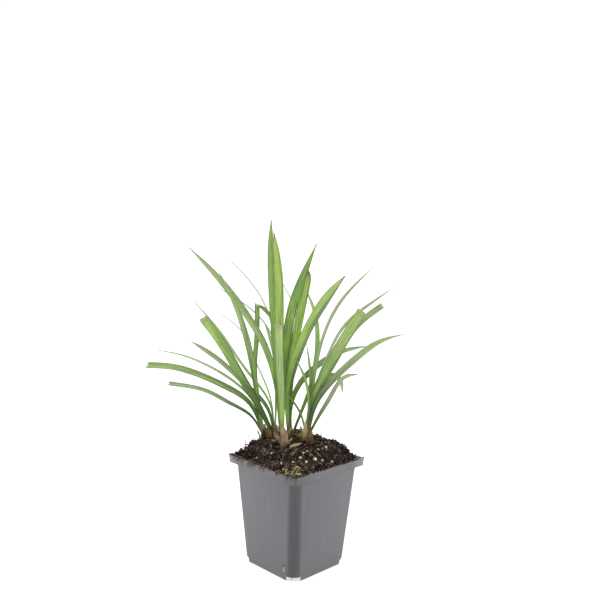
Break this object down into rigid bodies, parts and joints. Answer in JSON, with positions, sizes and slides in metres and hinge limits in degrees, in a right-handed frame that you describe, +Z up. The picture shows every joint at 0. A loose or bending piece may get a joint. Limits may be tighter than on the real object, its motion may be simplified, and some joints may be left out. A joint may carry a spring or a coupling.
{
  "type": "potted liriope",
  "caption": "Liriope in a small square grey nursery pot: narrow strap leaves in arching tufts above dark mounded soil.",
  "frame": {"origin": "middle of the pot's foot, on the surface that it stands on", "axes": "+Z up along the pot's axis, X and Y along the pot's sides; the picture looks at the corner (-X, -Y)"},
  "size_m": [0.1948, 0.198, 0.316],
  "materials": {
    "pot": "matt grey moulded plastic",
    "soil": "damp peat and bark",
    "leaf": "satin green leaf",
    "dark_leaf": "satin dark green leaf",
    "husk": "dry tan sheath",
    "straw": "yellowed leaf"
  },
  "bodies": {
    "root": {"pot": "pot", "soil": "soil", "fan_left": "leaf", "fan_back_left": "dark_leaf", "fan_middle": "leaf", "fan_centre": "leaf", "fan_right": "leaf", "husk_left": "husk", "husk_middle": "husk", "husk_right": "husk", "husk_front": "straw", "yellow_leaf": "straw"}
  },
  "joints": []
}
